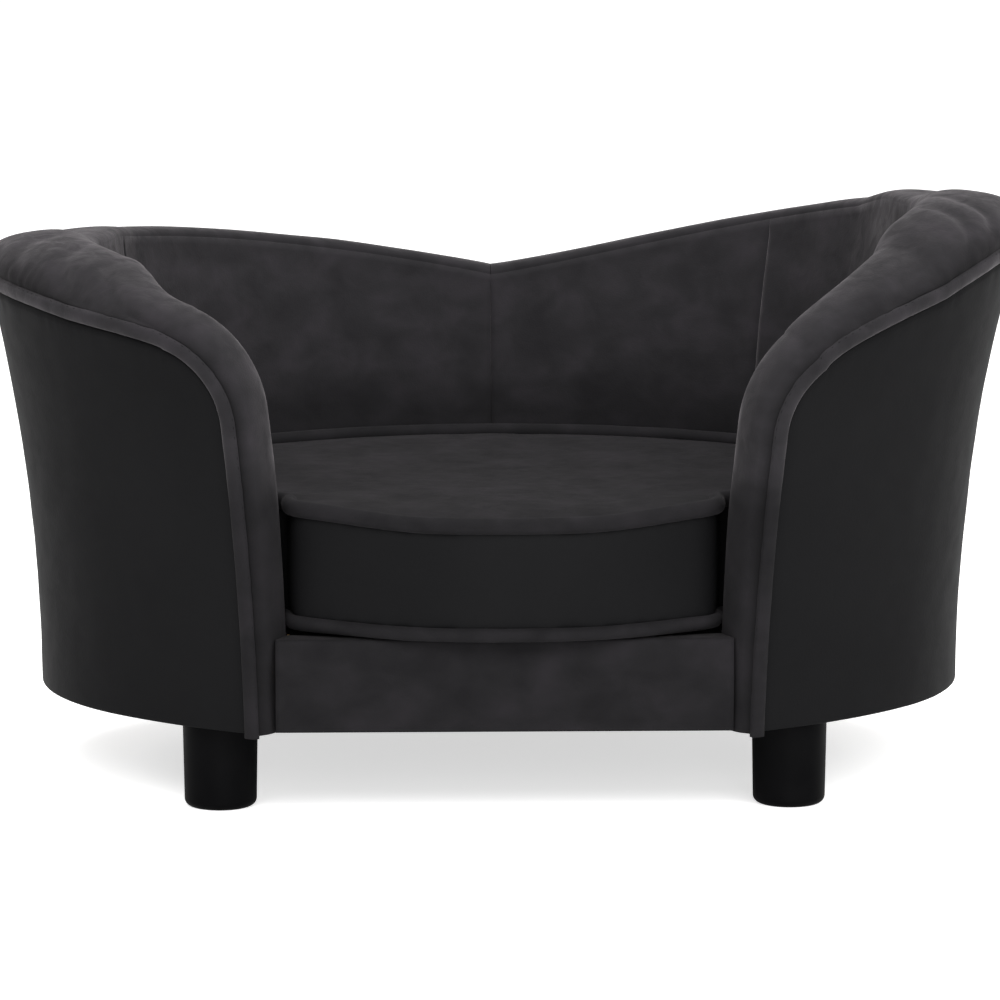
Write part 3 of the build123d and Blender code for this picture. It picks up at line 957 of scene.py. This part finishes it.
    def build_lining(self, name: str, first: float, last: float, node: str) -> None:
        """One plush panel of the inside, padded and drawn in at its seams.

        Args:
            name: Name of the piece.
            first: Bearing of its front seam, or 0 for the arm's front edge.
            last: Bearing of its back seam.
            node: CAD node it stands for.
        """
        fine, clear = (0.0, 0.12, 0.25, 0.45, 0.8), 1.0
        opening = [Station(first + step, self.rim(first + step), 0.0) for step in fine] if first else []
        closing = [Station(last - step, self.rim(last - step), 0.0) for step in reversed(fine)]
        between = self.stations(front=0, corner=14, rim=200, low=OVAL.base)
        between = [s for s in between if s.bearing < last - clear]
        edges = opening + [s for s in between if not first or s.bearing > first + clear] + closing
        rows, leaning, flap, flap_rise = 44, 50, 0.007, 0.0009
        seat_height, fade, puff, puff_run = 0.200, 0.05, 0.0035, 14
        seam_depth, seam_run, seam_top = 0.0016, 0.3, 0.012
        ridge, ridge_at, ridge_run = 0.0007, 0.9, 0.6
        waves = (Ripple(0.0011, 0.075, 4.0), Ripple(0.0004, 0.022, 6.0))

        def place(column: int, row: int) -> Vector:
            """Point of the panel.

            Args:
                column: Step along the edge.
                row: Step up from the deck.

            Returns:
                The point.
            """
            station = edges[column]
            lean = math.asin((station.height - OVAL.base) / OVAL.flare_radius)
            top = station.height + self.width(station) * math.sin(lean) * math.cos(math.radians(station.turn))
            height = self.deck + (top - self.deck) * row / (rows - 1)
            bearing = station.bearing
            if not first:
                lean_back = self.front_bearing(height) - self.front_bearing(top)
                bearing += lean_back * max(0.0, 1 - column / leaning)
            if row == 0:
                return OVAL.point(self.hand, bearing, OVAL.wall + flap, self.deck + flap_rise)
            point = OVAL.point(self.hand, bearing, OVAL.wall, height)
            above = settle((height - seat_height) / fade) * settle((top - height) / fade)
            near = min(last - bearing, bearing - first if first else 90.0)
            depth = puff * settle(near / puff_run) + ridge * hump(near - ridge_at, ridge_run)
            depth = (depth + sum(wave.at(point) for wave in waves)) * above
            depth -= seam_depth * hump(near, seam_run) * settle((top - height) / seam_top)
            share = (height - self.deck) / (top - self.deck)
            depth += self.fullness(station.bearing) * share**self.full_shape
            return OVAL.point(self.hand, bearing, OVAL.wall + depth, height)

        middle = OVAL.point(self.hand, edges[len(edges) // 2].bearing, 0.0, 0.2)
        shape = self.shop.grid(len(edges), rows, place, Vector((-middle.x, OVAL.centre_y - middle.y, 0)))
        obj = self.shop.add(name, shape)
        self.shop.thicken(obj, thickness=0.0015)
        self.shop.dress(obj, Body.FRAME, Slot.PLUSH, (node,))

    def build(self) -> None:
        """Build every piece of this half."""
        self.build_leather()
        self.build_welt()
        self.build_roll()
        self.build_stitches()
        self.build_lining(f"{self.name}_arm_panel", 0.0, self.seam, f"{self.name}_arm_lining")
        self.build_lining(f"{self.name}_back_panel", self.seam, 180.0, f"{self.name}_back_lining")
        LOG.info("%s half of the wall built", self.name)


@dataclass
class SeatCushion:
    """The loose seat cushion: crowned plush top, leather boxing, welts and a cloth underside."""

    shop: Workshop
    bottom: float = 0.1181
    top: float = 0.1981
    wall_gap: float = 0.004
    shoulder_y: float = -0.172
    lobe_right: float = 0.1392
    lobe_left: float = 0.1420
    top_welt: float = 0.0054
    overhang: float = 0.0010
    bow_radius: float = 0.300
    bow_y: float = 0.061
    corner: float = 0.020
    neck: float = 0.009
    ear_cut: float = 0.004
    welt: float = 0.0045
    proud: float = 0.002
    crown: float = 0.019
    crown_run: float = 0.085
    quick_run: float = 0.07
    dents: Ripple = Ripple(0.0012, 0.06, 8.0)
    dent_run: float = 0.05
    side_swell: float = 0.0022
    voxel: float = 0.005
    pressure: float = 4.0
    sim_frames: int = 20
    corner_lift: float = 0.007
    zip_half_angle: float = 22.0
    zip_half_height: float = 0.009

    def half_outline(self, lobe: float) -> list[Vector]:
        """Right half of the plan, from the middle of the back to the middle of the front.

        Args:
            lobe: Half width of the front lobe.

        Returns:
            Points in the plane.
        """
        inset = OVAL.wall + self.wall_gap
        points = []
        for step in range(181):
            place = OVAL.point(1.0, 180.0 - step, inset, OVAL.base)
            if place.y < self.shoulder_y:
                break
            points.append(Vector((place.x, place.y)))
        last = points[-1]
        points.append(Vector((last.x - self.ear_cut, self.shoulder_y)))
        arcs = [((lobe + self.neck, self.shoulder_y - self.neck), self.neck, 90, 180)]
        rise = math.sqrt((self.bow_radius - self.corner) ** 2 - (lobe - self.corner) ** 2)
        knee = (lobe - self.corner, self.bow_y - rise)
        tangent = math.degrees(math.atan2(-rise, lobe - self.corner))
        arcs.append((knee, self.corner, 0, tangent))
        arcs.append(((0.0, self.bow_y), self.bow_radius, tangent, -90))
        for (x, y), radius, begin, end in arcs:
            steps = 24 if radius > 0.1 else 8
            for step in range(steps + 1):
                turn = math.radians(begin + (end - begin) * step / steps)
                points.append(Vector((x + radius * math.cos(turn), y + radius * math.sin(turn))))
        return points

    def outline(self, inset: float, pitch: float) -> list[Vector]:
        """Closed plan of the cushion, evenly spaced and drawn in.

        Args:
            inset: Distance inside the true outline.
            pitch: Spacing of the points.

        Returns:
            Points in the plane, without a repeat at the end.
        """
        other = self.half_outline(self.lobe_left)[1:-1]
        loop = self.half_outline(self.lobe_right) + [Vector((-p.x, p.y)) for p in reversed(other)]
        lengths = [(b - a).length for a, b in zip(loop, loop[1:] + loop[:1])]
        count = round(sum(lengths) / pitch)
        even, index, walked = [], 0, 0.0
        for step in range(count):
            aim = sum(lengths) * step / count
            while walked + lengths[index] < aim:
                walked += lengths[index]
                index += 1
            share = (aim - walked) / max(lengths[index], 1e-9)
            even.append(loop[index].lerp(loop[(index + 1) % len(loop)], share))
        drawn = []
        for step, point in enumerate(even):
            along = even[(step + 1) % count] - even[step - 1]
            drawn.append(point + Vector((-along.y, along.x)).normalized() * -inset)
        return drawn

    def lifted(self, point: Vector) -> Vector:
        """Raise a point near the front corners, where the arms squeeze the cushion.

        Args:
            point: Point of the level cushion.

        Returns:
            The raised point.
        """
        side_from, side_run, front_from, front_run, least = 0.045, 0.100, -0.100, 0.080, 0.35
        side = settle((abs(point.x) - side_from) / side_run)
        front = settle((front_from - point.y) / front_run)
        share = least + (1 - least) * (point.z - self.bottom) / (self.top - self.bottom)
        return point + Vector((0, 0, self.corner_lift * side * front * share))

    def core(self) -> bpy.types.Object:
        """Plain closed core between the two seams, remeshed for the simulation.

        Returns:
            The core object.
        """
        shape = bmesh.new()
        low, high = self.bottom + self.welt, self.top - self.welt
        ring = [shape.verts.new((p.x, p.y, low)) for p in self.outline(self.proud, pitch=0.006)]
        face = shape.faces.new(ring)
        grown = bmesh.ops.extrude_face_region(shape, geom=[face])
        raised = [item for item in grown["geom"] if isinstance(item, bmesh.types.BMVert)]
        bmesh.ops.translate(shape, verts=raised, vec=(0, 0, high - low))
        bmesh.ops.recalc_face_normals(shape, faces=shape.faces)
        obj = self.shop.add("cushion_core", shape)
        remesh = obj.modifiers.new("voxels", "REMESH")
        remesh.mode = "VOXEL"
        remesh.voxel_size = self.voxel
        self.apply(obj)
        return obj

    def apply(self, obj: bpy.types.Object) -> None:
        """Replace an object's mesh by its evaluated mesh.

        Args:
            obj: Object whose modifiers are applied.
        """
        graph = bpy.context.evaluated_depsgraph_get()
        mesh = bpy.data.meshes.new_from_object(obj.evaluated_get(graph))
        obj.modifiers.clear()
        obj.data = mesh

    def swell(self, obj: bpy.types.Object) -> None:
        """Blow the core up with cloth held at its seams, and cap how far each point moves.

        Args:
            obj: The remeshed core.
        """
        mesh = obj.data
        rest = [v.co.copy() for v in mesh.vertices]
        kinds: dict[int, set[int]] = {}
        for polygon in mesh.polygons:
            for vertex in polygon.vertices:
                kinds.setdefault(vertex, set()).add(self.kind(polygon.normal))
        held = [v for v, found in kinds.items() if len(found) > 1 or -1 in found]
        rim = self.outline(self.proud, pitch=0.008)
        reach = [min((Vector(co[:2]) - p).length for p in rim) for co in rest]
        moved = self.simulate(obj, held)
        for index, vertex in enumerate(mesh.vertices):
            shift = moved[index] - rest[index]
            cap = self.side_swell
            if kinds[index] == {1}:
                cap = self.crown * math.sqrt(settle(reach[index] / self.crown_run))
                shift += Vector((0, 0, self.dents.at(rest[index]) * settle(reach[index] / self.dent_run)))
            if shift.length > cap:
                shift *= cap / shift.length
            vertex.co = self.lifted(rest[index] + shift)
        smooth = obj.modifiers.new("ease", "SMOOTH")
        smooth.factor = 0.5
        smooth.iterations = 4
        self.apply(obj)

    def simulate(self, obj: bpy.types.Object, held: list[int]) -> list[Vector]:
        """Run the cloth.

        Args:
            obj: The remeshed core.
            held: Points that stay where they are.

        Returns:
            Where each point ends.
        """
        group = obj.vertex_groups.new(name="held")
        group.add(held, 1.0, "REPLACE")
        cloth = obj.modifiers.new("swell", "CLOTH")
        cloth.settings.use_pressure = True
        cloth.settings.uniform_pressure_force = self.pressure
        cloth.settings.effector_weights.gravity = 0.0
        cloth.settings.vertex_group_mass = group.name
        cloth.point_cache.frame_start = 1
        cloth.point_cache.frame_end = self.sim_frames
        scene = bpy.context.scene
        for step in range(1, self.sim_frames + 1):
            scene.frame_set(step)
        graph = bpy.context.evaluated_depsgraph_get()
        moved = [v.co.copy() for v in obj.evaluated_get(graph).data.vertices]
        obj.modifiers.clear()
        obj.vertex_groups.clear()
        scene.frame_set(1)
        return moved

    def kind(self, normal: Vector) -> int:
        """Sort a face of the core.

        Args:
            normal: The face's normal.

        Returns:
            1 for the top, -1 for the bottom, 0 for the boxing.
        """
        steep = 0.6
        return 0 if abs(normal.z) < steep else (1 if normal.z > 0 else -1)

    def build_covers(self) -> None:
        """Top panel, boxing and bottom panel, cut from the swollen core."""
        core = self.core()
        kinds = [self.kind(polygon.normal) for polygon in core.data.polygons]
        self.swell(core)
        pieces = (
            ("seat_top", 1, Slot.PLUSH, "cushion_top_panel"),
            ("seat_boxing", 0, Slot.LEATHER, "cushion_boxing"),
            ("seat_bottom", -1, Slot.CLOTH, "cushion_bottom_panel"),
        )
        for name, kind, slot, node in pieces:
            shape = bmesh.new()
            shape.from_mesh(core.data)
            shape.faces.ensure_lookup_table()
            gone = [face for face, found in zip(shape.faces, kinds) if found != kind]
            bmesh.ops.delete(shape, geom=gone, context="FACES")
            if kind == 0:
                self.cut_zip(shape)
            obj = self.shop.add(name, shape)
            finer = obj.modifiers.new("finer", "SUBSURF")
            finer.levels = finer.render_levels = 1
            self.shop.thicken(obj, thickness=0.0012)
            self.shop.dress(obj, Body.CUSHION, slot, (node, "cushion_foam") if kind == 1 else (node,))
        bpy.data.objects.remove(core)

    def cut_zip(self, shape: bmesh.types.BMesh) -> None:
        """Open the boxing where the zip runs.

        Args:
            shape: The boxing.
        """
        middle, rear = (self.bottom + self.top) / 2, 0.1
        centre = Vector((0, OVAL.centre_y - (OVAL.end_radius - OVAL.half_depth), 0))
        turn = math.radians(self.zip_half_angle)
        planes = [(Vector((0, 0, middle + s * self.zip_half_height)), Vector((0, 0, 1))) for s in (-1, 1)]
        planes += [(centre, Vector((math.cos(turn), -s * math.sin(turn), 0))) for s in (-1, 1)]
        for point, normal in planes:
            near = [face for face in shape.faces if face.calc_center_median().y > rear]
            parts = set(near) | {e for f in near for e in f.edges} | {v for f in near for v in f.verts}
            bmesh.ops.bisect_plane(shape, geom=list(parts), plane_co=point, plane_no=normal, dist=1e-5)

        def inside(face: bmesh.types.BMFace) -> bool:
            """Whether a face lies in the zip's opening.

            Args:
                face: A face of the boxing.

            Returns:
                True inside the opening.
            """
            place = face.calc_center_median()
            away = math.atan2(abs(place.x), place.y - centre.y)
            return place.y > rear and away < turn and abs(place.z - middle) < self.zip_half_height

        gone = [face for face in shape.faces if inside(face)]
        bmesh.ops.delete(shape, geom=gone, context="FACES")

    def build_piping(self, name: str, height: float, proud: float, thick: float) -> None:
        """Piping along one seam.

        Args:
            name: Which seam, top or bottom.
            height: Height of the seam.
            proud: How far the piping stands out.
            thick: Radius of the piping.
        """
        rows, uneven = 13, Ripple(0.05, 0.03, 1.0)
        path = self.outline(thick - proud, pitch=0.005)
        count = len(path)

        def place(column: int, row: int) -> Vector:
            """Point of the piping.

            Args:
                column: Step along the seam.
                row: Step round the piping.

            Returns:
                The point.
            """
            at = path[column % count]
            along = (path[(column + 1) % count] - path[(column - 1) % count]).normalized()
            turn = 2 * math.pi * (row % (rows - 1)) / (rows - 1)
            radius = thick * (1 + uneven.at(Vector((at.x, at.y, height))))
            flat = at + Vector((along.y, -along.x)) * radius * math.cos(turn)
            return self.lifted(Vector((flat.x, flat.y, height + radius * math.sin(turn))))

        facing = place(count // 2, rows // 2) - Vector((*path[count // 2], height))
        obj = self.shop.add(f"seat_{name}_piping", self.shop.grid(count + 1, rows, place, facing))
        self.shop.dress(obj, Body.CUSHION, Slot.PLUSH, (f"cushion_{name}_welt",))

    def build(self) -> None:
        """Build the cushion's covers and piping."""
        self.build_covers()
        self.build_piping("top", self.top - self.welt, self.proud + self.overhang, self.top_welt)
        self.build_piping("bottom", self.bottom + self.welt, self.proud, self.welt)
        LOG.info("seat cushion built")


@dataclass
class FrontRail:
    """Plush cover of the rail across the opening."""

    shop: Workshop
    left: float = 0.1490
    right: float = 0.1460
    face_y: float = -0.2253
    bottom: float = 0.0571
    top: float = 0.1178
    turn_in: float = 0.020

    def build(self) -> None:
        """Build the cover: turned in below and above, a little padded in front."""
        radius, arc, columns, face_rows = 0.0022, 5, 90, 26
        end_from, end_run, end_draw = 0.004, 0.008, 0.006
        pad, pad_run, uneven = 0.0022, 0.02, Ripple(0.0008, 0.05, 7.0)
        turns = [math.pi / 2 * step / arc for step in range(arc + 1)]
        low, high = self.bottom + radius, self.top - radius
        profile = [(self.face_y + self.turn_in, self.bottom)]
        profile += [(self.face_y + radius * (1 - math.sin(t)), low - radius * math.cos(t)) for t in turns]
        profile += [(self.face_y, low + (high - low) * step / face_rows) for step in range(1, face_rows)]
        profile += [(self.face_y + radius * (1 - math.cos(t)), high + radius * math.sin(t)) for t in turns]
        profile.append((self.face_y + self.turn_in, self.top))

        def place(column: int, row: int) -> Vector:
            """Point of the cover.

            Args:
                column: Step along the rail.
                row: Step round it, from below.

            Returns:
                The point.
            """
            y, z = profile[row]
            ends = settle((y - self.face_y - end_from) / end_run) * end_draw
            x = (self.left + self.right - 2 * ends) * column / (columns - 1) - self.left + ends
            puff = 0.0
            if y < self.face_y + radius:
                puff = settle((z - self.bottom) / pad_run) * settle((self.top - z) / pad_run)
                puff *= pad + uneven.at(Vector((x, y, z)))
            return Vector((x, y - puff, z))

        shape = self.shop.grid(columns, len(profile), place, Vector((0, -1, 0)))
        obj = self.shop.add("rail_cover", shape)
        self.shop.thicken(obj, thickness=0.0014)
        self.shop.dress(obj, Body.FRAME, Slot.PLUSH, ("front_rail_cover",))


@dataclass
class Studio:
    """Floor, soft light and the camera at the photograph's angle."""

    distance: float = 4.185
    height: float = 0.853
    azimuth: float = -1.5
    pitch: float = 9.24
    lens: float = 225.5
    turn: float = -0.018
    floor_glow: float = 0.6
    surround: float = 0.55

    def floor(self) -> None:
        """Large pale floor."""
        shape = bmesh.new()
        bmesh.ops.create_grid(shape, x_segments=1, y_segments=1, size=30.0)
        mesh = bpy.data.meshes.new("floor")
        shape.to_mesh(mesh)
        shape.free()
        obj = bpy.data.objects.new("floor", mesh)
        bpy.context.scene.collection.objects.link(obj)
        nodes = Nodes("floor_paint")
        colour = nodes.ramp(nodes.noise(0.8, 2), (0.3, "f4f4f4"), (0.7, "f7f7f7"))
        seen = nodes.add("LightPath").outputs["Is Camera Ray"]
        paint = nodes.finish(
            Base_Color=colour,
            Roughness=0.9,
            Specular_IOR_Level=0.1,
            Emission_Color=linear("ffffff"),
            Emission_Strength=nodes.maths("MULTIPLY", seen, self.floor_glow),
        )
        mesh.materials.append(paint)

    def world(self) -> None:
        """White surroundings, brighter to the camera than to the object."""
        world = bpy.data.worlds.new("studio")
        world.use_nodes = True
        tree = world.node_tree
        tree.nodes.clear()
        path = tree.nodes.new("ShaderNodeLightPath")
        seen = tree.nodes.new("ShaderNodeBackground")
        lit = tree.nodes.new("ShaderNodeBackground")
        mix = tree.nodes.new("ShaderNodeMixShader")
        out = tree.nodes.new("ShaderNodeOutputWorld")
        seen.inputs["Color"].default_value = (1, 1, 1, 1)
        lit.inputs["Color"].default_value = linear("f7f6f5")
        lit.inputs["Strength"].default_value = self.surround
        tree.links.new(path.outputs["Is Camera Ray"], mix.inputs[0])
        tree.links.new(lit.outputs[0], mix.inputs[1])
        tree.links.new(seen.outputs[0], mix.inputs[2])
        tree.links.new(mix.outputs[0], out.inputs["Surface"])
        bpy.context.scene.world = world

    def light(self, name: str, place: Triple, size: float, power: float) -> None:
        """A square soft light aimed at the sofa.

        Args:
            name: Name of the light.
            place: Where it hangs.
            size: Edge of the square.
            power: Power in watts.
        """
        data = bpy.data.lights.new(name, "AREA")
        data.size = size
        data.energy = power
        obj = bpy.data.objects.new(name, data)
        obj.location = place
        aim = Vector((0, 0, 0.2)) - Vector(place)
        obj.rotation_euler = aim.to_track_quat("-Z", "Y").to_euler()
        bpy.context.scene.collection.objects.link(obj)

    def camera(self) -> None:
        """Camera at the photograph's angle."""
        data = bpy.data.cameras.new("camera")
        data.lens = self.lens
        data.sensor_width = 36.0
        data.clip_end = 100.0
        obj = bpy.data.objects.new("camera", data)
        way = math.radians(self.azimuth)
        obj.location = (self.distance * math.sin(way), -self.distance * math.cos(way), self.height)
        obj.rotation_euler = (math.radians(90 - self.pitch), 0, way + math.radians(self.turn))
        bpy.context.scene.collection.objects.link(obj)
        bpy.context.scene.camera = obj

    def build(self) -> None:
        """Set the whole stage."""
        bpy.context.scene.view_settings.view_transform = "Standard"
        self.floor()
        self.world()
        self.light("key", (-0.9, -2.6, 2.6), 1.8, 60)
        self.light("fill", (1.6, -2.2, 1.9), 1.6, 40)
        self.light("left_edge", (-2.6, 0.6, 1.4), 1.4, 14)
        self.light("right_edge", (2.6, 0.6, 1.4), 1.4, 20)
        self.light("top", (0.0, 0.4, 2.8), 1.6, 42)
        self.light("front", (0.3, -3.6, 0.9), 1.4, 40)
        self.camera()


def dress_frame(looks: Looks) -> None:
    """Give every CAD node its slot's material.

    Args:
        looks: Materials by slot.
    """
    for row in frame["record"]["subparts"]:
        node = frame["nodes"][row["node"]]
        node.data.materials.clear()
        node.data.materials.append(looks.of(Slot(row["material_slot"])))


def main() -> None:
    """Build the sofa's looks and the stage."""
    looks = Looks()
    dress_frame(looks)
    shop = Workshop(looks)
    left = WallHalf(
        shop, "left", hand=-1.0, wing=0.338, arm=0.316, slope=18.0, seam=125.0,
        opening=0.1605, fall=0.95, full_from=36.0, full_run=14.0,
        folds=(Fold(47.0, 26.0, 0.0045, 1.7), Fold(58.0, 30.0, 0.0040, 2.0), Fold(72.0, 26.0, 0.0030, 2.4)),
    )
    right = WallHalf(
        shop, "right", hand=1.0, wing=0.3625, arm=0.301, slope=34.0, seam=146.0,
        opening=0.157, fall=1.18, full_from=29.0, full_run=30.0,
        folds=(Fold(62.0, 22.0, 0.0035, 1.6), Fold(70.0, 24.0, 0.0035, 1.7), Fold(48.0, 20.0, 0.0030, 2.0)),
    )
    for part in (left, right, SeatCushion(shop), FrontRail(shop), Studio()):
        part.build()


if __name__ == "__main__":
    main()
